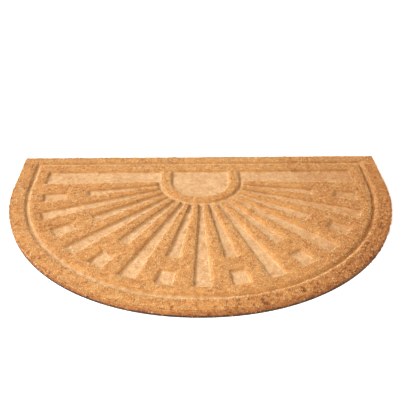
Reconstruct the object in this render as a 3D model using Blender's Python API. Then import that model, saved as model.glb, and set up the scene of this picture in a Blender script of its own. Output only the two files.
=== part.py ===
"""Half-round coir doormat: a tufted coir pile with a sunburst pressed into it, on a thin vinyl backing.

Metres, +Z up. The mat lies flat on z = 0 with its straight edge at the back, +Y, and its round edge at -Y.
"""

from math import cos, pi, radians, sin, tan

import bmesh
import bpy

# Outline: a half round, its shoulders a little fuller than an ellipse's (an exponent of 2 is the ellipse).
# It runs on into short straight sides that flare slightly, up to the straight back edge.
WIDTH = 0.752
FLARE = 0.005
SIDE = 0.098
SIDE_REACH = WIDTH / 2 - FLARE
FRONT_REACH = 0.375
FULLNESS = 2.06
DEPTH = FRONT_REACH + SIDE
BACK_Y = DEPTH / 2
CENTRE_Y = BACK_Y - SIDE

# Thickness, from the floor up.
BACKING_THICK = 0.0022
SEAT_GAP = 0.0003
MAT_THICK = 0.015
RIM_ROUND = 0.0015
RIM_STEPS = 3

# Pressed relief: every hollow has one floor level and a steep, softly flared wall.
RELIEF_DEPTH = 0.0065
WALL = 0.004
WALL_PROFILE = (
    # share of the depth, share of the wall's width
    (0.00, 0.00),
    (0.65, 0.45),
    (1.40, 1.63),
)

# Border line: runs along the whole edge, its middle line this far in from it.
BORDER_INSET = 0.0325
BORDER_INSET_BACK = 0.0255
BORDER_FLOOR = 0.004
BORDER_WALL = 0.0045

# Sun: a half-round hollow, a raised ring round it, and a narrow hollow round the ring.
SUN_RADIUS = 0.0605
RING = 0.0165
HALO = 0.011
HALO_WALL = 0.003
TOP_INSET = 0.0545

# Rays: equal steps of angle about the sun's middle. The first and the last are broad level bars.
POSITIONS = 17
STEP_DEG = 180 / (POSITIONS - 1)
RAY_FLOOR_DEG = 4.3
RAY_LIP_DEG = 6.3
RAY_END = 0.321
BAR_END = 0.315
BAR_DROP_DEG = 2.0
SHORT_RAYS = (
    # position from either side, end of the ray, start of the dash, end of the dash
    (1, 0.226, 0.264, 0.312),
    (3, 0.238, 0.273, 0.317),
    (5, 0.247, 0.278, 0.320),
    (7, 0.253, 0.283, 0.321),
)

ARC_STEPS = 72
RAY_ARC_STEPS = 3
BASE_Z = BACKING_THICK + SEAT_GAP
FLOOR_Z = MAT_THICK - RELIEF_DEPTH
COIR_COLOUR = (0.72, 0.37, 0.13, 1.0)
COIR_ROUGHNESS = 0.95
VINYL_COLOUR = (0.02, 0.016, 0.015, 1.0)
VINYL_ROUGHNESS = 0.6


def clear_scene():
    for obj in list(bpy.data.objects):
        bpy.data.objects.remove(obj, do_unlink=True)


def finish_material(name, colour, roughness):
    made = bpy.data.materials.new(name)
    made.use_nodes = True
    shader = made.node_tree.nodes["Principled BSDF"]
    shader.inputs["Base Color"].default_value = colour
    shader.inputs["Roughness"].default_value = roughness
    shader.inputs["Metallic"].default_value = 0.0
    return made


def polar(radius, angle):
    """A point at this radius and angle about the sun's middle."""
    return (radius * cos(angle), CENTRE_Y + radius * sin(angle))


def arc(radius, start, end, steps):
    """Points along an arc about the sun's middle, both ends included."""
    return [polar(radius, start + (end - start) * i / steps) for i in range(steps + 1)]


def edge_reach(angle):
    """How far the mat's round edge lies from the sun's middle at this angle."""
    across, along = abs(cos(angle)) / SIDE_REACH, abs(sin(angle)) / FRONT_REACH
    return (across ** FULLNESS + along ** FULLNESS) ** (-1 / FULLNESS)


def mat_outline(inset, inset_back):
    """The mat's outline moved in from its edge, counterclockwise from its right back corner."""
    top_y = BACK_Y - inset_back
    corner = SIDE_REACH - inset + FLARE * (top_y - CENTRE_Y) / SIDE
    turns = [pi + pi * i / ARC_STEPS for i in range(ARC_STEPS + 1)]
    return [(corner, top_y), (-corner, top_y)] + [polar(edge_reach(turn) - inset, turn) for turn in turns]


def half_round(radius, top_y):
    """A half circle with straight sides, counterclockwise, closed by a straight edge at top_y."""
    return [(radius, top_y), (-radius, top_y)] + arc(radius, pi, 2 * pi, ARC_STEPS)


def sector(inner, outer, start, end, steps):
    """A piece of a ring about the sun's middle, counterclockwise."""
    return arc(outer, start, end, steps) + arc(inner, end, start, steps)


def bar(inner, outer, top_y, drop):
    """The right-hand bar: level on top, its lower edge falling away from the sun's middle."""
    low_inner = (inner, CENTRE_Y - inner * tan(drop))
    low_outer = (outer, CENTRE_Y - outer * tan(drop))
    return [low_inner, low_outer, (outer, top_y), (inner, top_y)]


def mirrored(outline):
    return [(-x, y) for x, y in reversed(outline)]


def loop_of(mesh, outline, z):
    return [mesh.verts.new((x, y, z)) for x, y in outline]


def side_faces(mesh, low, high):
    for i, vert in enumerate(low):
        after = (i + 1) % len(low)
        mesh.faces.new((vert, low[after], high[after], high[i]))


def new_object(name, mesh, material):
    bmesh.ops.recalc_face_normals(mesh, faces=mesh.faces)
    data = bpy.data.meshes.new(name)
    mesh.to_mesh(data)
    mesh.free()
    if material:
        data.materials.append(material)
    made = bpy.data.objects.new(name, data)
    bpy.context.collection.objects.link(made)
    return made


def lofted(name, levels, material=None):
    """A closed solid through (outline, z) levels, lowest first, with a flat cap at each end."""
    mesh = bmesh.new()
    loops = [loop_of(mesh, outline, z) for outline, z in levels]
    for low, high in zip(loops, loops[1:]):
        side_faces(mesh, low, high)
    mesh.faces.new(list(reversed(loops[0])))
    mesh.faces.new(loops[-1])
    return new_object(name, mesh, material)


def lofted_ring(name, levels):
    """A closed ring through (outer outline, inner outline, z) levels, lowest first."""
    mesh = bmesh.new()
    outer = [loop_of(mesh, level[0], level[2]) for level in levels]
    inner = [loop_of(mesh, level[1], level[2]) for level in reversed(levels)]
    section = outer + inner
    for low, high in zip(section, section[1:] + section[:1]):
        side_faces(mesh, low, high)
    return new_object(name, mesh, None)


def wall_levels():
    """(share of the wall's width, height) from the floor of a hollow to just over the pile."""
    return [(share, FLOOR_Z + height * RELIEF_DEPTH) for height, share in WALL_PROFILE]


def backing():
    outline = mat_outline(0, 0)
    levels = [(outline, 0.0), (outline, BACKING_THICK)]
    return lofted("vinyl_backing", levels, finish_material("vinyl", VINYL_COLOUR, VINYL_ROUGHNESS))


def pile_blank():
    """The uncut pile: straight sides, then the top edge rounded over in a few steps."""
    levels = [(mat_outline(0, 0), BASE_Z)]
    for i in range(RIM_STEPS + 1):
        turn = pi / 2 * i / RIM_STEPS
        inset = RIM_ROUND * (1 - cos(turn))
        z = MAT_THICK - RIM_ROUND * (1 - sin(turn))
        levels.append((mat_outline(inset, inset), z))
    return lofted("coir_pile", levels, finish_material("coir", COIR_COLOUR, COIR_ROUGHNESS))


def border_cutter():
    levels = []
    for share, z in wall_levels():
        half = BORDER_FLOOR / 2 + share * BORDER_WALL
        outer = mat_outline(BORDER_INSET - half, BORDER_INSET_BACK - half)
        inner = mat_outline(BORDER_INSET + half, BORDER_INSET_BACK + half)
        levels.append((outer, inner, z))
    return lofted_ring("cut_border", levels)


def sun_cutter():
    levels = []
    for share, z in wall_levels():
        grow = (share - 1) * WALL
        levels.append((half_round(SUN_RADIUS + grow, BACK_Y - TOP_INSET + grow), z))
    return lofted("cut_sun", levels)


def halo_cutter():
    """The half ring below the sun. Its two ends open into the level bars."""
    inner_lip = SUN_RADIUS + RING
    outer_lip = inner_lip + HALO
    levels = []
    for share, z in wall_levels():
        grow = (share - 1) * HALO_WALL
        outline = sector(inner_lip - grow, outer_lip + grow, pi, 2 * pi, ARC_STEPS // 2)
        levels.append((outline, z))
    return lofted("cut_halo", levels)


def bar_cutters():
    made = []
    for name in ("cut_bar_right", "cut_bar_left"):
        levels = []
        for share, z in wall_levels():
            grow = (share - 1) * WALL
            inner = SUN_RADIUS + RING - grow
            drop = radians(BAR_DROP_DEG) + grow / BAR_END
            outline = bar(inner, BAR_END + grow, BACK_Y - TOP_INSET + grow, drop)
            if name == "cut_bar_left":
                outline = mirrored(outline)
            levels.append((outline, z))
        made.append(lofted(name, levels))
    return made


def wedge_cutter(name, position, start, end, end_walls):
    """A ray or a dash: its long sides keep their angle, so that it widens outwards."""
    middle = pi + radians(STEP_DEG) * position
    levels = []
    for share, z in wall_levels():
        half = radians(RAY_FLOOR_DEG + share * (RAY_LIP_DEG - RAY_FLOOR_DEG)) / 2
        grow = (share - 1) * WALL
        inner = start - grow * end_walls
        outline = sector(inner, end + grow, middle - half, middle + half, RAY_ARC_STEPS)
        levels.append((outline, z))
    return lofted(name, levels)


def ray_cutters():
    first = SUN_RADIUS + RING + HALO / 2
    last = POSITIONS - 1
    made = []
    for position in range(2, last, 2):
        made.append(wedge_cutter(f"cut_ray_{position}", position, first, RAY_END, 0))
    for near, ray_end, dash_start, dash_end in SHORT_RAYS:
        for position in (near, last - near):
            made.append(wedge_cutter(f"cut_ray_{position}", position, first, ray_end, 0))
            made.append(wedge_cutter(f"cut_dash_{position}", position, dash_start, dash_end, 1))
    return made


def press_relief(pile, cutters):
    """Cuts every hollow out of the pile. The cutters stay in a collection of their own, unrendered."""
    tools = bpy.data.collections.new("relief_cutters")
    bpy.context.scene.collection.children.link(tools)
    for cutter in cutters:
        bpy.context.collection.objects.unlink(cutter)
        tools.objects.link(cutter)
        cutter.hide_render = True
        cutter.display_type = "WIRE"
    cut = pile.modifiers.new("relief", "BOOLEAN")
    cut.operation = "DIFFERENCE"
    cut.solver = "EXACT"
    cut.operand_type = "COLLECTION"
    cut.collection = tools


def main():
    clear_scene()
    backing()
    pile = pile_blank()
    press_relief(pile, [border_cutter(), sun_cutter(), halo_cutter(), *bar_cutters(), *ray_cutters()])


main()
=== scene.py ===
from math import cos, pi, radians, sin

import bmesh
import bpy
import numpy as np
from mathutils import Euler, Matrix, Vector


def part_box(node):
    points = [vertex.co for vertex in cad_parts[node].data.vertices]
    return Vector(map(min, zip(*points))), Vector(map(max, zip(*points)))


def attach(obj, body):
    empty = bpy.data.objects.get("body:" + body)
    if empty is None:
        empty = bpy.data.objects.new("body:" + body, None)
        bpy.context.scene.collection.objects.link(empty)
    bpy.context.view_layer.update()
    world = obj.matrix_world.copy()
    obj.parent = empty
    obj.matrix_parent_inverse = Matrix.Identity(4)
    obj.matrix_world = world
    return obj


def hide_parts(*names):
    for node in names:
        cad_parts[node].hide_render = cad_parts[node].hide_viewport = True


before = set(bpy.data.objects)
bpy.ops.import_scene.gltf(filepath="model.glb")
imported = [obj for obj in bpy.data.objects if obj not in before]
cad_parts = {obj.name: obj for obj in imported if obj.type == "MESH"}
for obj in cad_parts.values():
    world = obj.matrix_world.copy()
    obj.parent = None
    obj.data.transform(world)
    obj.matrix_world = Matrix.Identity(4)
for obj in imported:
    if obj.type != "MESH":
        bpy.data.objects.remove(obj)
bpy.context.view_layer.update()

# Camera: a 50 mm lens a little over a metre away, looking down on the mat from the front of its
# round edge, turned less than a degree to the side.
FOCAL_PX = 553.6
FRAME_PX = 400
SENSOR_MM = 36.0
NEAREST = 0.05
CAMERA_RISE = radians(32.63)
CAMERA_TURN = radians(-0.755)
CAMERA_ROLL = radians(0.04)
CAMERA_DISTANCE = 1.0855
AIM = Vector((-0.0008, 0.0854, 0.0))
lens = bpy.data.cameras.new("camera")
lens.sensor_width = SENSOR_MM
lens.lens = FOCAL_PX / FRAME_PX * SENSOR_MM
lens.clip_start = NEAREST
camera = bpy.data.objects.new("camera", lens)
bpy.context.scene.collection.objects.link(camera)
sight = Vector((sin(CAMERA_TURN) * cos(CAMERA_RISE), -cos(CAMERA_TURN) * cos(CAMERA_RISE), sin(CAMERA_RISE)))
camera.location = AIM + sight * CAMERA_DISTANCE
camera.rotation_euler = Euler((pi / 2 - CAMERA_RISE, CAMERA_ROLL, CAMERA_TURN), "XYZ")
bpy.context.scene.camera = camera
bpy.context.scene.view_settings.view_transform = "Standard"

# Studio: white paper laid on a light table, a soft warm surround, a large soft lamp at the back left,
# which shades one side of the pressed lines and lights the other, and two weaker ones to fill.
PAPER_SIZE = 8.0
PAPER_GLOW = 0.45
SURROUND = 0.58
LAMPS = (
    # name, turn from +X and rise above the floor in degrees, distance, size, watts, tint
    ("back_left_softbox", 156, 37, 5.0, 1.3, 384, "F4FBFF"),
    ("front_left_softbox", -118, 34, 2.0, 1.4, 48, "FFFFFF"),
    ("right_softbox", -12, 34, 2.6, 1.4, 15, "FFF0DC"),
)


def linear(colour):
    """The linear red, green, blue and alpha of an sRGB hex colour such as "E0A060"."""
    parts = [int(colour[i:i + 2], 16) / 255 for i in (0, 2, 4)]
    return [p / 12.92 if p <= 0.04045 else ((p + 0.055) / 1.055) ** 2.4 for p in parts] + [1.0]


def add(tree, kind, links=None, **settings):
    """Adds a shader node. Each input named in links takes a value or the socket that feeds it."""
    made = tree.nodes.new(kind)
    for name, value in settings.items():
        setattr(made, name, value)
    for name, value in (links or {}).items():
        if isinstance(value, bpy.types.NodeSocket):
            tree.links.new(value, made.inputs[name])
        else:
            made.inputs[name].default_value = value
    return made


def material(name, rough, colour):
    """A new material of one colour, with its node tree and its shader, for more nodes to feed."""
    made = bpy.data.materials.new(name)
    made.use_nodes = True
    shader = made.node_tree.nodes["Principled BSDF"]
    shader.inputs["Roughness"].default_value = rough
    shader.inputs["Base Color"].default_value = linear(colour)
    return made, made.node_tree, shader


def object_of(name, data, finish):
    data.materials.append(finish)
    made = bpy.data.objects.new(name, data)
    bpy.context.scene.collection.objects.link(made)
    return made


white_paper, _, shader = material("white_paper", 0.9, "F6F6F6")
shader.inputs["Emission Color"].default_value = linear("FFFFFF")
shader.inputs["Emission Strength"].default_value = PAPER_GLOW
sweep = bmesh.new()
bmesh.ops.create_grid(sweep, x_segments=1, y_segments=1, size=PAPER_SIZE / 2)
paper_mesh = bpy.data.meshes.new("paper_floor")
sweep.to_mesh(paper_mesh)
sweep.free()
object_of("paper_floor", paper_mesh, white_paper)
surround = bpy.data.worlds.new("surround")
surround.use_nodes = True
surround.node_tree.nodes["Background"].inputs["Color"].default_value = linear("FFEBD4")
surround.node_tree.nodes["Background"].inputs["Strength"].default_value = SURROUND
bpy.context.scene.world = surround
for name, turn, rise, away, size, power, tint in LAMPS:
    data = bpy.data.lights.new(name, "AREA")
    data.size = size
    data.energy = power
    data.color = linear(tint)[:3]
    lamp = bpy.data.objects.new(name, data)
    bpy.context.scene.collection.objects.link(lamp)
    turn, rise = radians(turn), radians(rise)
    towards = Vector((cos(turn) * cos(rise), sin(turn) * cos(rise), sin(rise)))
    lamp.location = towards * away
    lamp.rotation_euler = towards.to_track_quat("Z", "Y").to_euler()

# Vinyl backing: the thin sheet that holds the feet of the tufts, cut flush with the pile. It is
# calendered PVC, near-black and matt, with a fine pebble left by its mould belt.
PEBBLE_SIZE = 0.0015
PEBBLE_HEIGHT = 0.0002
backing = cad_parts["vinyl_backing"]
cast_vinyl, tree, shader = material("calendered_vinyl", 0.62, "1D1A19")
where = add(tree, "ShaderNodeTexCoord")
pebble = add(tree, "ShaderNodeTexNoise", {"Vector": where.outputs["Object"], "Scale": 1 / PEBBLE_SIZE,
                                          "Detail": 3.0})
bumps = add(tree, "ShaderNodeBump", {"Height": pebble.outputs["Fac"], "Distance": PEBBLE_HEIGHT,
                                     "Strength": 0.6})
tree.links.new(bumps.outputs["Normal"], shader.inputs["Normal"])
backing.material_slots[0].link = "OBJECT"
backing.material_slots[0].material = cast_vinyl

# Coir pile, its dense part: one closed body of packed fibre, with the sunburst that a hot plate
# pressed into it. Its mesh is spun about the sun's middle, so that rows of faces follow each ray.
(low_x, low_y, base_z), (high_x, back_y, top_z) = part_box("coir_pile")
FLARE = 0.005
SIDE = 0.098
SIDE_REACH = (high_x - low_x) / 2 - FLARE
FRONT_REACH = back_y - low_y - SIDE
MIDDLE_Y = back_y - SIDE
FULLNESS = 2.06
RELIEF_DEPTH = 0.0065
WALL = 0.004
SUN_RADIUS = 0.0605
RING = 0.0165
HALO = 0.011
HALO_WALL = 0.003
TOP_INSET = 0.0545
BORDER_INSET = 0.0325
BORDER_INSET_BACK = 0.0255
BORDER_WALL = 0.0045
BORDER_FLOOR = 0.004
POSITIONS = 16
RAY_STEP = pi / POSITIONS
RAY_FLOOR = radians(4.3) / 2
RAY_LIP = radians(6.3) / 2
RAY_END = 0.321
BAR_END = 0.315
BAR_DROP = 0.035
SHORT_RAYS = (
    # position from either side, end of the ray, start of the dash, end of the dash
    (1, 0.226, 0.264, 0.312),
    (3, 0.238, 0.273, 0.317),
    (5, 0.247, 0.278, 0.320),
    (7, 0.253, 0.283, 0.321),
)
# A wall falls between these shares of its width, and its rounded shoulder begins this many widths out.
WALL_TOP, WALL_FOOT = 0.05, 0.85
SHOULDER, SHOULDER_DROP = 1.1, 0.15
# The bristles stand this far out of the body on the raised pile, and this far on the floors.
BRISTLE_SHOW = 0.0016
PRESSED_SHOW = 0.0002
RIM_ROUND = 0.0015
RIM_ROWS = 4
OUTLINE_INSET = 0.0008
ROW = 0.0025
SPIN_STEPS = 480
SAME_PLACE = 1e-6
THIN = (
    # within this radius of the sun's middle, one spoke in this many is kept
    (0.080, 2),
    (0.045, 4),
    (0.022, 8),
    (0.011, 16),
    (0.006, 32),
)
LUMPS = (
    # size across, height
    (0.005, 0.00025),
    (0.010, 0.00015),
)
PRESSED_EVEN = 0.5     # the plate took this share of the lumps away on the floors
rng = np.random.default_rng(11)


def edge_reach(x, up):
    """How far the mat's edge lies from the sun's middle: to the side behind it, radially before it."""
    radial = (np.abs(x) / SIDE_REACH) ** FULLNESS + (np.abs(up) / FRONT_REACH) ** FULLNESS
    radial = np.hypot(x, up) * np.maximum(radial, 1e-9) ** (-1 / FULLNESS)
    return np.where(up < 0, radial, SIDE_REACH + FLARE * up / SIDE)


def inside_outline(x, y, inset=0.0, inset_back=0.0):
    """Distance inside the mat's outline, or inside that outline moved in."""
    up = y - MIDDLE_Y
    from_middle = np.where(up < 0, np.hypot(x, up), np.abs(x))
    from_back = np.where(up < 0, np.inf, SIDE - up - inset_back)
    return np.minimum(edge_reach(x, up) - from_middle - inset, from_back)


def soft_step(value, start=0.0, end=1.0):
    """Rises smoothly from 0 at start to 1 at end."""
    share = np.clip((value - start) / (end - start), 0, 1)
    return share * share * (3 - 2 * share)


def pressed(x, y):
    """How far the plate pressed the pile at each point: 0 on top, 1 on the floor of a hollow."""
    across, up = np.abs(x), y - MIDDLE_Y
    reach = np.hypot(x, up)
    front = up < 0
    border = inside_outline(x, y, BORDER_INSET, BORDER_INSET_BACK)
    sun = np.where(front, SUN_RADIUS - reach, np.minimum(SUN_RADIUS - across, SIDE - TOP_INSET - up))
    ring_edge = SUN_RADIUS + RING
    halo = HALO / 2 - np.abs(reach - ring_edge - HALO / 2)
    bar = np.minimum.reduce([across - ring_edge, BAR_END - across, SIDE - TOP_INSET - up,
                             up + across * BAR_DROP])
    # Each depth is counted from 0 at the lip of a hollow to 1 at the foot of its wall.
    deep = np.maximum.reduce([(BORDER_FLOOR / 2 + BORDER_WALL - np.abs(border)) / BORDER_WALL, sun / WALL,
                              bar / WALL, np.where(front, halo, -HALO) / HALO_WALL])
    place = np.round(np.arctan2(-up, -x) / RAY_STEP)
    aside = np.abs(np.arctan2(-up, -x) - place * RAY_STEP)
    place = np.minimum(place, POSITIONS - place)
    flank = np.where(front & (place >= 1), RAY_LIP - aside, -1) / (RAY_LIP - RAY_FLOOR)
    after_ring = np.where(reach > ring_edge + HALO / 2, flank, -1)
    for ray_place, ray_end, dash_start, dash_end in SHORT_RAYS:
        here = place == ray_place
        ray = np.minimum(after_ring, (ray_end - reach) / WALL)
        dash = np.minimum(flank, np.minimum(reach - dash_start, dash_end - reach) / WALL)
        deep = np.where(here, np.maximum.reduce([deep, ray, dash]), deep)
    long_ray = np.minimum(after_ring, (RAY_END - reach) / WALL)
    deep = np.where(place % 2 == 0, np.maximum(deep, long_ray), deep)
    shoulder = SHOULDER_DROP * np.clip(1 + deep / SHOULDER, 0, 1) ** 2
    return shoulder + (1 - SHOULDER_DROP) * soft_step(deep, WALL_TOP, WALL_FOOT)


# Blending evens the random cells out, so their range is widened again by this much.
PATCH_RANGE = 1.4


def patchy(x, y, size):
    """Smooth random patches about this far across, from about -1 to 1, different at each call."""
    start_x, start_y = np.min(x), np.min(y)
    cells = rng.uniform(-1, 1, (int(np.ptp(y) / size) + 3, int(np.ptp(x) / size) + 3))
    across, along = (x - start_x) / size, (y - start_y) / size
    column, row = across.astype(int), along.astype(int)
    right, below = soft_step(across - column), soft_step(along - row)
    first = cells[row, column] * (1 - right) + cells[row, column + 1] * right
    second = cells[row + 1, column] * (1 - right) + cells[row + 1, column + 1] * right
    return PATCH_RANGE * (first * (1 - below) + second * below)


def rim_fall(edge):
    """How far the rounded rim lies below the top, by the distance in from the mat's edge."""
    into_round = np.clip(RIM_ROUND - edge, 0, RIM_ROUND)
    return RIM_ROUND - np.sqrt(np.maximum(RIM_ROUND ** 2 - into_round ** 2, 0))


def packed_height(x, y):
    """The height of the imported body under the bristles."""
    sunk = BRISTLE_SHOW + (RELIEF_DEPTH - BRISTLE_SHOW + PRESSED_SHOW) * pressed(x, y)
    return top_z - sunk - rim_fall(inside_outline(x, y, OUTLINE_INSET, OUTLINE_INSET))


# Tone runs from 0, the brownest fibre, to 1, the most bleached. Painted shade darkens the pile at its two
# ends and the band outside the border line at the front right; a painted highlight pales the line's
# outer lip in front.
# Each pair of places, in metres, is where a change starts and where it is complete.
RIGHT_PAINTED_SHADE, RIGHT_END = 0.09, (-0.02, 0.34)
LEFT_PAINTED_SHADE, LEFT_END = 0.08, (-0.12, -0.32)
PALE_BAND, BAND_INSET = 0.01, (0.03, 0.02)
BAND_PAINTED_SHADE, BAND_X, BAND_Y = 0.12, (-0.10, 0.12), (0.22, 0.17)
LIP_PAINTED_HIGHLIGHT, LIP_X, LIP_Y = 0.32, (-0.12, -0.02), (0.0, -0.1)
LIP_INSET, LIP_WIDTH = 0.0270, 0.0022


def tone_with_painted_light(x, y):
    """What a place in the pile adds to the tone of its fibres: painted shade at the pile's two ends and in
    the band at the front right, and a painted highlight on the border line's outer lip in front.
    """
    edge = inside_outline(x, y)
    band_tone = PALE_BAND - BAND_PAINTED_SHADE * soft_step(x, *BAND_X) * soft_step(y, *BAND_Y)
    lip = np.exp(-((edge - LIP_INSET) / LIP_WIDTH) ** 2) * soft_step(x, *LIP_X) * soft_step(y, *LIP_Y)
    return (band_tone * soft_step(edge, *BAND_INSET) + LIP_PAINTED_HIGHLIGHT * lip
            - LEFT_PAINTED_SHADE * soft_step(x, *LEFT_END) - RIGHT_PAINTED_SHADE * soft_step(x, *RIGHT_END))


# Painted shadow in the right-hand half of the border line, from its outer wall at the side and from its
# floor at the front: there the line keeps the pile's brown instead of the floor's paleness.
GROOVE_SHADE_X = (-0.02, 0.12)
GROOVE_SHADE_FROM, GROOVE_SHADE_WIDER, GROOVE_SHADE_WIDER_Y = 0.029, 0.006, (-0.12, 0.0)
GROOVE_SHADE_BLEND = 0.003
GROOVE_SHADE_TO = 0.0405
GROOVE_SHADE_TO_BACK = 0.04


def groove_painted_shade(x, y):
    """How much painted shadow the border line takes at each place, keeping the pile's brown there."""
    edge = inside_outline(x, y)
    start = GROOVE_SHADE_FROM - GROOVE_SHADE_WIDER * soft_step(y, *GROOVE_SHADE_WIDER_Y)
    in_line = (edge < GROOVE_SHADE_TO) & (y < back_y - GROOVE_SHADE_TO_BACK)
    return in_line * soft_step(edge, start, start + GROOVE_SHADE_BLEND) * soft_step(x, *GROOVE_SHADE_X)


def rows_to(end):
    """Places from the middle line out to an edge: even rows, then closer ones over the rounded rim."""
    rim = end - RIM_ROUND * (1 - np.sin(np.linspace(0, pi / 2, RIM_ROWS)))
    return [*np.arange(0, rim[0] - ROW / 2, ROW), *rim]


body_radius, body_side = FRONT_REACH - OUTLINE_INSET, SIDE - OUTLINE_INSET
packed = bmesh.new()
row = [packed.verts.new((reach, MIDDLE_Y, top_z)) for reach in rows_to(body_radius)]
line = [packed.edges.new(pair) for pair in zip(row, row[1:])]
bmesh.ops.spin(packed, geom=row + line, cent=(0, MIDDLE_Y, 0), axis=(0, 0, -1), angle=pi, steps=SPIN_STEPS)
bmesh.ops.remove_doubles(packed, verts=packed.verts, dist=SAME_PLACE)
# Near the sun's middle the spokes crowd together, so they are thinned out there.
for limit, keep in THIN:
    spare = []
    for edge in packed.edges:
        a, b = ((v.co - Vector((0, MIDDLE_Y, top_z))) for v in edge.verts)
        middle = a + b
        spoke = abs(a.x * b.y - a.y * b.x) < 1e-9
        if spoke and max(a.length, b.length) < limit and middle.y < -1e-5:
            turn = round(np.arctan2(-middle.y, middle.x) / pi * SPIN_STEPS)
            if turn % keep:
                spare.append(edge)
    bmesh.ops.dissolve_edges(packed, edges=spare, use_verts=True)
# Behind it the rows run straight to the back edge. Then the sides are drawn down and closed underneath.
front = [e for e in packed.edges if e.is_boundary and all(abs(v.co.y - MIDDLE_Y) < 1e-4 for v in e.verts)]
for up in rows_to(body_side)[1:]:
    moved = bmesh.ops.extrude_edge_only(packed, edges=front)["geom"]
    front = [g for g in moved if isinstance(g, bmesh.types.BMEdge)]
    for vert in (g for g in moved if isinstance(g, bmesh.types.BMVert)):
        vert.co.y = MIDDLE_Y + up
for z in np.linspace(top_z - RIM_ROUND, base_z, RIM_ROWS)[1:]:
    rim = [e for e in packed.edges if e.is_boundary]
    moved = bmesh.ops.extrude_edge_only(packed, edges=rim)["geom"]
    for vert in (g for g in moved if isinstance(g, bmesh.types.BMVert)):
        vert.co.z = z
bmesh.ops.holes_fill(packed, edges=[e for e in packed.edges if e.is_boundary], sides=0)
bmesh.ops.recalc_face_normals(packed, faces=packed.faces)
packed_mesh = bpy.data.meshes.new("coir_body")
packed.to_mesh(packed_mesh)
packed.free()

# The spun half round is widened to the mat's outline, and its top face is sunk to the pressed relief.
places = np.empty(len(packed_mesh.vertices) * 3)
packed_mesh.vertices.foreach_get("co", places)
places = places.reshape(-1, 3)
x, up, z = places[:, 0], places[:, 1] - MIDDLE_Y, places[:, 2]
is_top = z > top_z - SAME_PLACE
widen = (edge_reach(x, up) - OUTLINE_INSET) / body_radius
x, y = x * widen, MIDDLE_Y + up * np.where(up < 0, widen, 1)
depth = pressed(x, y)
lumps = sum(height * patchy(x, y, size) for size, height in LUMPS) * (1 - PRESSED_EVEN * depth)
places = np.stack([x, y, np.where(is_top, packed_height(x, y) + lumps, z)], 1)
packed_mesh.vertices.foreach_set("co", places.ravel())
packed_mesh.polygons.foreach_set("use_smooth", [True] * len(packed_mesh.polygons))

BODY_TONE = 0.5
BODY_RIGHT_PAINTED_SHADE, BODY_RIGHT_END = 0.2, (0.14, 0.26)
BODY_PALE_WALL = 0.3
BODY_BROWN_SIDE = 0.5
BODY_PATCHES = (
    # size across, share of tone
    (0.004, 0.12),
    (0.011, 0.10),
)
GROOVE_SHADE_SHARE = 0.4
# Painted shade: darker towards the right, with each place's painted shade and highlight added.
tone = BODY_TONE + tone_with_painted_light(x, y) - BODY_RIGHT_PAINTED_SHADE * soft_step(x, *BODY_RIGHT_END)
tone += BODY_PALE_WALL * depth * (1 - depth) - BODY_BROWN_SIDE * ~is_top
tone += sum(share * patchy(x, y, size) for size, share in BODY_PATCHES)
# Painted shadow: in the border line's right-hand half the floor's pale colour is partly held back.
flat_share = np.where(is_top, depth * (1 - GROOVE_SHADE_SHARE * groove_painted_shade(x, y)), 0)
packed_mesh.attributes.new("tone", "FLOAT", "POINT").data.foreach_set("value", np.clip(tone, 0, 1))
packed_mesh.attributes.new("pressed", "FLOAT", "POINT").data.foreach_set("value", flat_share)
packed_mesh.update()

# Packed coir fibre: matt and speckled, golden brown where it stands and paler where it is pressed flat.
FIBRE_CLUMPS = 420.0     # to a metre: a clump of fibre is 2.4 mm across
CLUMP_HEIGHT = 0.0006
RAMP_START, RAMP_END = 0.3, 0.7
FLAT_FROM = 0.66
packed_coir, tree, shader = material("packed_coir", 0.9, "B07A44")
flat_value = add(tree, "ShaderNodeAttribute", attribute_name="pressed")
tone_value = add(tree, "ShaderNodeAttribute", attribute_name="tone")
where = add(tree, "ShaderNodeTexCoord")
fibre = add(tree, "ShaderNodeTexNoise", {"Vector": where.outputs["Object"], "Scale": FIBRE_CLUMPS,
                                         "Detail": 4.0, "Roughness": 0.7})
speckle = add(tree, "ShaderNodeMath", {0: fibre.outputs["Fac"], 1: tone_value.outputs["Fac"]},
              operation="ADD")
pile_ramp = add(tree, "ShaderNodeValToRGB")
floor_ramp = add(tree, "ShaderNodeValToRGB")
half = add(tree, "ShaderNodeMath", {0: speckle.outputs[0], 1: 0.5}, operation="MULTIPLY")
for ramp, dark, pale in ((pile_ramp, "885424", "B98444"), (floor_ramp, "9C6E3E", "C6A67C")):
    ramp.color_ramp.elements[0].color = linear(dark)
    ramp.color_ramp.elements[0].position = RAMP_START
    ramp.color_ramp.elements[1].color = linear(pale)
    ramp.color_ramp.elements[1].position = RAMP_END
    tree.links.new(half.outputs[0], ramp.inputs["Fac"])
on_floor = add(tree, "ShaderNodeMapRange", {"Value": flat_value.outputs["Fac"], "From Min": FLAT_FROM},
               interpolation_type="SMOOTHSTEP")
mixed = add(tree, "ShaderNodeMix", data_type="RGBA")
tree.links.new(on_floor.outputs["Result"], mixed.inputs[0])
tree.links.new(pile_ramp.outputs["Color"], mixed.inputs[6])
tree.links.new(floor_ramp.outputs["Color"], mixed.inputs[7])
tree.links.new(mixed.outputs[2], shader.inputs["Base Color"])
bumps = add(tree, "ShaderNodeBump", {"Height": fibre.outputs["Fac"], "Distance": CLUMP_HEIGHT,
                                     "Strength": 0.7})
tree.links.new(bumps.outputs["Normal"], shader.inputs["Normal"])
coir_body = object_of("coir_body", packed_mesh, packed_coir)
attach(coir_body, "root")
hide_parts("coir_pile")

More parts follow.
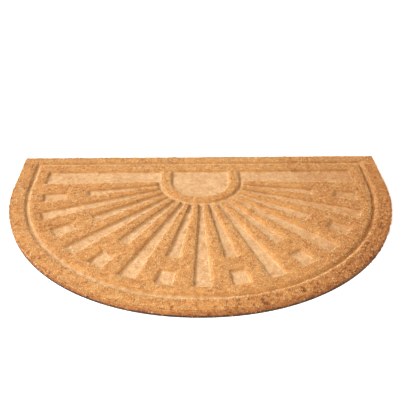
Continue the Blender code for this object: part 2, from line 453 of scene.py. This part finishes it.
# Bristles: the cut ends of the coir fibres, which stand out of the imported part all over the raised
# pile in tufts and lean into the hollows along their walls. A tint darkens them towards their roots: painted
# shade.
PITCH = 0.00125
THICK = 0.00066
TUFT = 0.0032
RIM_TUFT = 0.0050
EMBED = 0.0005
spike = bmesh.new()
bmesh.ops.create_cone(spike, cap_ends=True, cap_tris=False, segments=3, radius1=1, radius2=0, depth=1)
bmesh.ops.translate(spike, verts=spike.verts, vec=(0, 0, 0.5))
bmesh.ops.remove_doubles(spike, verts=spike.verts, dist=SAME_PLACE)
spike.verts.ensure_lookup_table()
SPIKE_POINTS = np.array([v.co for v in spike.verts])
SPIKE_FACES = np.array([[v.index for v in f.verts] for f in spike.faces])
spike.free()


def bristles(name, root, lean, length, radius, tone, finish):
    """One piece of many spikes. Each stands on its root, along its lean, and has its own tone."""
    axis = lean / np.linalg.norm(lean, axis=1, keepdims=True)
    side = np.cross(axis, rng.normal(size=axis.shape))
    side /= np.linalg.norm(side, axis=1, keepdims=True)
    other = np.cross(axis, side)
    points = (root[:, None] + radius * SPIKE_POINTS[None, :, :1] * side[:, None]
              + radius * SPIKE_POINTS[None, :, 1:2] * other[:, None]
              + length[:, None, None] * SPIKE_POINTS[None, :, 2:] * axis[:, None])
    corners = (SPIKE_FACES[None] + len(SPIKE_POINTS) * np.arange(len(root))[:, None, None]).ravel()
    tip = np.tile(SPIKE_POINTS[:, 2], len(root))
    data = bpy.data.meshes.new(name)
    data.vertices.add(points.shape[0] * points.shape[1])
    data.vertices.foreach_set("co", points.ravel())
    data.loops.add(len(corners))
    data.loops.foreach_set("vertex_index", corners.astype(np.int32))
    data.polygons.add(len(corners) // 3)
    data.polygons.foreach_set("loop_start", np.arange(0, len(corners), 3, dtype=np.int32))
    data.update(calc_edges=True)
    tones = np.repeat(tone, len(SPIKE_POINTS))
    data.attributes.new("tone", "FLOAT", "POINT").data.foreach_set("value", tones)
    data.attributes.new("tip", "FLOAT", "POINT").data.foreach_set("value", tip)
    made = object_of(name, data, finish)
    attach(made, "root")
    return made


def coir_fibre(name, tones, root_shade_tint):
    """A coir fibre finish: each bristle's tone picks its colour, and a tint darkens it towards its root,
    painted shade down among the bristles.
    """
    finish, tree, shader = material(name, 0.8, "B98550")
    tone_value = add(tree, "ShaderNodeAttribute", attribute_name="tone")
    ramp = add(tree, "ShaderNodeValToRGB", {"Fac": tone_value.outputs["Fac"]})
    while len(ramp.color_ramp.elements) < len(tones):
        ramp.color_ramp.elements.new(0.5)
    for element, (place, colour) in zip(ramp.color_ramp.elements, tones):
        element.position = place
        element.color = linear(colour)
    # Painted shade: the tint darkens each bristle from its tip down to its root.
    tip = add(tree, "ShaderNodeAttribute", attribute_name="tip")
    root = add(tree, "ShaderNodeMapRange", {"Value": tip.outputs["Fac"], "To Min": 1.0, "To Max": 0.0})
    tinted = add(tree, "ShaderNodeMix", data_type="RGBA", blend_type="MULTIPLY")
    tree.links.new(root.outputs["Result"], tinted.inputs[0])
    tree.links.new(ramp.outputs["Color"], tinted.inputs[6])
    tinted.inputs[7].default_value = linear(root_shade_tint)
    tree.links.new(tinted.outputs[2], shader.inputs["Base Color"])
    return finish


def spread(width, height, pitch):
    """Places about one pitch apart over an area that starts at 0, each nudged off its row."""
    across, along = np.meshgrid(np.arange(0, width, pitch), np.arange(0, height, pitch))
    return (across.ravel() + rng.uniform(-0.5, 0.5, across.size) * pitch,
            along.ravel() + rng.uniform(-0.5, 0.5, across.size) * pitch)


def tufts(a, b, size):
    """The tuft of this size that each place belongs to: its number, and the way there from its middle,
    in tuft sizes."""
    column, row = np.floor(a / size).astype(int), np.floor(b / size).astype(int)
    start_a, start_b = column.min() - 1, row.min() - 1
    column, row = column - start_a, row - start_b
    shape = (row.max() + 2, column.max() + 2)
    nudge_a, nudge_b = rng.uniform(0.1, 0.9, shape), rng.uniform(0.1, 0.9, shape)
    best = np.full(a.shape, np.inf)
    number, off_a, off_b = np.zeros(a.shape, int), np.zeros(a.shape), np.zeros(a.shape)
    for step_a in (-1, 0, 1):
        for step_b in (-1, 0, 1):
            c, r = column + step_a, row + step_b
            from_a = a / size - (c + start_a + nudge_a[r, c])
            from_b = b / size - (r + start_b + nudge_b[r, c])
            gap = from_a ** 2 + from_b ** 2
            nearer = gap < best
            best = np.where(nearer, gap, best)
            number = np.where(nearer, r * shape[1] + c, number)
            off_a, off_b = np.where(nearer, from_a, off_a), np.where(nearer, from_b, off_b)
    return number, off_a, off_b, shape[0] * shape[1]


def outward(x, y):
    """The direction, in plan, straight out from the nearest part of the mat's edge."""
    up = y - MIDDLE_Y
    reach = np.hypot(x, up)
    way = np.stack([np.where(up < 0, x / reach, np.sign(x)), np.where(up < 0, up / reach, 0)], 1)
    way[(up > 0) & (SIDE - up < edge_reach(x, up) - np.abs(x))] = (0, 1)
    return way


# Raw coir: cleaned husk fibre, matt, from brown to bleached.
raw_coir = coir_fibre("raw_coir", [(0.0, "6E3E18"), (0.12, "9E5E24"), (0.35, "CA904C"), (0.6, "D2B983"),
                                   (1.0, "E8DCB6")], "E6B87C")

MARGIN = 0.002
EDGE_GAP = 0.0002
BARE_DEPTH = 0.97
DOME_SPAN = 0.3     # a tuft's dome has fallen off where the squared way from its middle is this
# Chunky: the band outside the border line, towards the front right, has larger and looser tufts.
CHUNKY_X, CHUNKY_Y = (-0.15, 0.10), (0.1, -0.1)
LARGE_TUFTS = 0.3
x, y = spread(high_x - low_x + 2 * MARGIN, back_y - low_y + MARGIN, PITCH)
x, y = x + low_x - MARGIN, y + low_y
edge = inside_outline(x, y)
keep = (edge > EDGE_GAP) & (pressed(x, y) < BARE_DEPTH)
x, y, edge = x[keep], y[keep], edge[keep]
in_border = inside_outline(x, y, BORDER_INSET, BORDER_INSET_BACK) < 0
chunky = in_border * soft_step(x, *CHUNKY_X) * soft_step(y, *CHUNKY_Y)
large = chunky > LARGE_TUFTS
number, off_x, off_y, count = tufts(x, y, TUFT)
rim_number, rim_off_x, rim_off_y, rim_count = tufts(x, y, RIM_TUFT)
number = np.where(large, count + rim_number, number)
off_x, off_y = np.where(large, rim_off_x, off_x), np.where(large, rim_off_y, off_y)
count += rim_count
tuft_height, tuft_tone = rng.normal(size=count)[number], rng.normal(size=count)[number]
tuft_lean = rng.normal(size=(count, 2))[number]
dome = np.clip((off_x ** 2 + off_y ** 2) / DOME_SPAN, 0, 1)

# Lean: each bristle splays out from its tuft's middle, down a wall, and outwards at the mat's edge.
SPLAY = 0.9
LEAN = 0.18
LEAN_ON_WALL = 0.0018
LEAN_AT_RIM = 0.7
RIM_BAND = 0.004
STEP = 0.0004
slope_x = (pressed(x + STEP, y) - pressed(x - STEP, y)) / (2 * STEP)
slope_y = (pressed(x, y + STEP) - pressed(x, y - STEP)) / (2 * STEP)
rim_lean = LEAN_AT_RIM * np.clip(1 - edge / RIM_BAND, 0, 1)[:, None] * outward(x, y)
lean = np.concatenate([
    SPLAY * np.stack([off_x, off_y], 1) + LEAN * tuft_lean + LEAN * rng.normal(size=(x.size, 2))
    + LEAN_ON_WALL * np.stack([slope_x, slope_y], 1) + rim_lean, np.ones((x.size, 1))], 1)

# Height: a tuft is domed. Each bristle takes its level from a place nearer to its tuft's middle, which
# makes the lips ragged.
RAGGED = 0.6
TOP_RISE = 0.0004
RIM_RISE, RIM_RISE_BAND = 0.0008, 0.005
BACK_RISE, BACK_RISE_BAND = 0.0018, 0.006
ROUGH, ROUGH_BAND, ROUGH_CHUNKY = 1.1, 0.9, 2.1
FLAT_ROUGH = 0.8
TUFT_UNEVEN, TUFT_DOME, TIP_UNEVEN = 0.00045, 0.0009, 0.0003
SHORTEST = 0.0004
FLOOR_DEPTH, TALL_ON_FLOOR = 0.93, 0.0006
depth = pressed(x - RAGGED * TUFT * off_x, y - RAGGED * TUFT * off_y)
rough = np.where(in_border, ROUGH_BAND + ROUGH_CHUNKY * chunky, ROUGH)
under = packed_height(x, y)
tip_z = top_z + TOP_RISE - RELIEF_DEPTH * depth
tip_z += RIM_RISE * np.clip(1 - edge / RIM_RISE_BAND, 0, 1)
tip_z += BACK_RISE * np.clip(1 - (back_y - y) / BACK_RISE_BAND, 0, 1)
tip_z += rough * (1 - FLAT_ROUGH * depth) * (TUFT_UNEVEN * tuft_height - TUFT_DOME * dome
                                            + TIP_UNEVEN * rng.normal(size=x.size))
length = EMBED + np.maximum(tip_z - under, SHORTEST)
root = np.stack([x, y, under - EMBED], 1)

# Tone: palest on the domes' middles and on the lips. Darker out towards each tuft's edge: painted shade in
# the gaps between tufts. Each place adds its painted shade and highlight too.
PILE_TONE = 0.60
PALE_WALL, PALE_TO_DEPTH = 0.8, 0.25
TUFT_TONE, FIBRE_TONE, FIBRE_TONE_CHUNKY, DOME_PAINTED_SHADE = 0.12, 0.15, 0.09, 0.17
tone = PILE_TONE + PALE_WALL * np.minimum(depth, PALE_TO_DEPTH) + tone_with_painted_light(x, y) + TUFT_TONE * tuft_tone
tone += (FIBRE_TONE + FIBRE_TONE_CHUNKY * chunky) * rng.normal(size=x.size) - DOME_PAINTED_SHADE * rough * dome
tone = np.clip(tone, 0, 1)

# Four pieces: the band outside the border line, and the inside in three sectors. These are named as seen
# from the back edge, so the right one is at -X.
SECTORS = (-pi * 0.66, -pi * 0.34)
keep = (depth < FLOOR_DEPTH) | (tip_z > under + TALL_ON_FLOOR)
zone = np.where(in_border, 0, 1 + np.digitize(np.arctan2(y - back_y, x), SECTORS))
for zone_number, name in enumerate(("pile_border", "pile_right", "pile_middle", "pile_left")):
    own = keep & (zone == zone_number)
    bristles(name, root[own], lean[own], length[own], THICK, tone[own], raw_coir)

# Rim bristles: the die cuts the pile square, and the tufts of its side spread out a little over the
# backing, which they nearly hide.
OUTLINE_STEPS = 720
turn = np.linspace(pi, 2 * pi, OUTLINE_STEPS + 1)
arc = edge_reach(np.cos(turn), np.minimum(np.sin(turn), -1e-9))
loop_x = np.concatenate([[low_x], arc * np.cos(turn), [high_x, low_x]])
loop_y = np.concatenate([[back_y], MIDDLE_Y + arc * np.sin(turn), [back_y, back_y]])
run = np.concatenate([[0], np.cumsum(np.hypot(np.diff(loop_x), np.diff(loop_y)))])


def on_loop(along):
    """The place on the mat's outline this far along it, from its left back corner towards the front."""
    along = np.mod(along, run[-1])
    return np.stack([np.interp(along, run, loop_x), np.interp(along, run, loop_y)], 1)


RIM_TOP_GAP, RIM_LOWEST = 0.0006, 0.0003
LOOK_AHEAD = 0.001
# The tufts lean up at the top of the side and droop at its foot, but stay above the floor.
LIFT, DROOP = 1.5, 0.6
ABOVE_FLOOR, STEEPEST = 0.0004, 0.95
# They reach a little further out at the back. Darker between tufts and at the foot of the side: painted
# shade. Each place adds its painted shade and highlight too.
RIM_REACH, BACK_REACH, RIM_UNEVEN, RIM_DOME = 0.0018, 0.0014, 0.0010, 0.0038
RIM_TONE, RIM_TUFT_TONE, RIM_DOME_PAINTED_SHADE, RIM_FOOT_PAINTED_SHADE = 0.54, 0.2, 0.55, 0.35
along, z = spread(run[-1], top_z - base_z - RIM_TOP_GAP, PITCH)
z = np.maximum(z, RIM_LOWEST)
number, off_a, off_z, count = tufts(along, z, RIM_TUFT)
tuft_height, tuft_tone = rng.normal(size=count)[number], rng.normal(size=count)[number]
ahead = on_loop(along + LOOK_AHEAD) - on_loop(along - LOOK_AHEAD)
ahead /= np.linalg.norm(ahead, axis=1, keepdims=True)
out = np.stack([ahead[:, 1], -ahead[:, 0]], 1)
at_back = out[:, 1] > 0.9
dome = np.clip((off_a ** 2 + off_z ** 2) / DOME_SPAN, 0, 1)
raise_up = soft_step(z / (top_z - base_z))
lean = np.concatenate([
    out + (SPLAY * off_a)[:, None] * ahead + LEAN * rng.normal(size=out.shape),
    (LIFT * raise_up - DROOP + SPLAY * off_z + LEAN * rng.normal(size=along.size))[:, None]], 1)
reach_out = (RIM_REACH + BACK_REACH * at_back + RIM_UNEVEN * tuft_height - RIM_DOME * dome
             + TIP_UNEVEN * rng.normal(size=along.size))
length = EMBED + OUTLINE_INSET + np.maximum(reach_out, -OUTLINE_INSET)
drop = np.minimum((base_z + z - ABOVE_FLOOR) / length, STEEPEST)
lean[:, 2] = np.maximum(lean[:, 2], -np.hypot(lean[:, 0], lean[:, 1]) * drop / np.sqrt(1 - drop ** 2))
tone = RIM_TONE + tone_with_painted_light(*on_loop(along).T) + RIM_TUFT_TONE * tuft_tone
tone += FIBRE_TONE * rng.normal(size=along.size) - RIM_DOME_PAINTED_SHADE * dome - RIM_FOOT_PAINTED_SHADE * (1 - raise_up)
root = np.concatenate([on_loop(along) - out * (OUTLINE_INSET + EMBED), (base_z + z)[:, None]], 1)
bristles("rim_bristles", root, lean, length, THICK, np.clip(tone, 0, 1), raw_coir)

# Pressed fibres: on the floors of the hollows the plate laid the fibres flat, in every direction. Heat
# and pressure left them smoother and paler than the pile.
LAID_PITCH = 0.0018
LAID_LENGTH, LAID_UNEVEN, LAID_THICK = 0.0035, 0.0008, 0.0003
LAID_RISE, LAID_RISE_UNEVEN = 0.08, 0.05
LAID_TONE, LAID_TONE_UNEVEN = 0.5, 0.2
LAID_RIGHT_PAINTED_SHADE, LAID_RIGHT_END, LAID_GROOVE_SHADE = 0.2, (0.16, 0.30), 0.2
x, y = spread(high_x - low_x, back_y - low_y, LAID_PITCH)
x, y = x + low_x, y + low_y
keep = (pressed(x, y) > FLOOR_DEPTH) & (inside_outline(x, y) > 0)
x, y = x[keep], y[keep]
number, _, _, count = tufts(x, y, TUFT)
turn = rng.uniform(0, 2 * pi, x.size)
lean = np.stack([np.cos(turn), np.sin(turn), LAID_RISE + LAID_RISE_UNEVEN * rng.normal(size=x.size)], 1)
# Painted shade: darker towards the right and in the right-hand half of the border line, with each place's
# painted shade and highlight added.
tone = LAID_TONE + tone_with_painted_light(x, y) - LAID_RIGHT_PAINTED_SHADE * soft_step(x, *LAID_RIGHT_END)
tone -= LAID_GROOVE_SHADE * groove_painted_shade(x, y)
tone += LAID_TONE_UNEVEN * rng.normal(size=count)[number]
tone += LAID_TONE_UNEVEN * rng.normal(size=x.size)
root = np.stack([x, y, packed_height(x, y)], 1)
length = LAID_LENGTH + LAID_UNEVEN * rng.normal(size=x.size)
laid_coir = coir_fibre("laid_coir", [(0.0, "A06430"), (0.3, "C48C52"), (0.65, "CCA47A"), (1.0, "E1C6A0")],
                       "FFFFFF")
bristles("pressed_fibres", root, lean, length, LAID_THICK, np.clip(tone, 0, 1), laid_coir)
